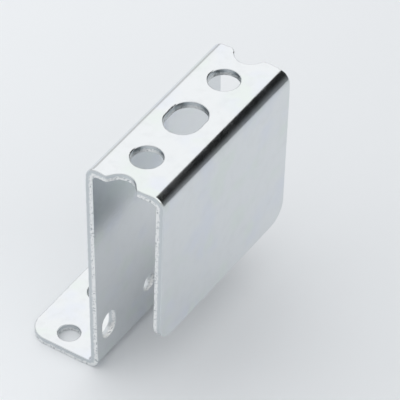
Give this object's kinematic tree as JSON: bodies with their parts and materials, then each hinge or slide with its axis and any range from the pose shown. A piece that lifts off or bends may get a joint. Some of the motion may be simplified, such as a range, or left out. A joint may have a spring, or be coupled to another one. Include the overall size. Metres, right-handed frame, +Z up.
{
  "type": "sensor bracket",
  "caption": "Folded steel sheet bracket: a drilled foot, an upright web, a top plate with a row of holes and end notches, and a hanging skirt.",
  "frame": {"origin": "where the axis of the round foot hole meets the underside of the foot", "axes": "+Z up, square to the foot; +Y along the folds, from the front end with the end holes to the rear; +X from the foot towards the channel and the skirt"},
  "size_m": [0.0384, 0.05, 0.062],
  "materials": {
    "zinc_plated_steel": "bright zinc plate with clear blue passivation over cold rolled steel"
  },
  "bodies": {
    "root": {"bracket": "zinc_plated_steel"}
  },
  "joints": []
}
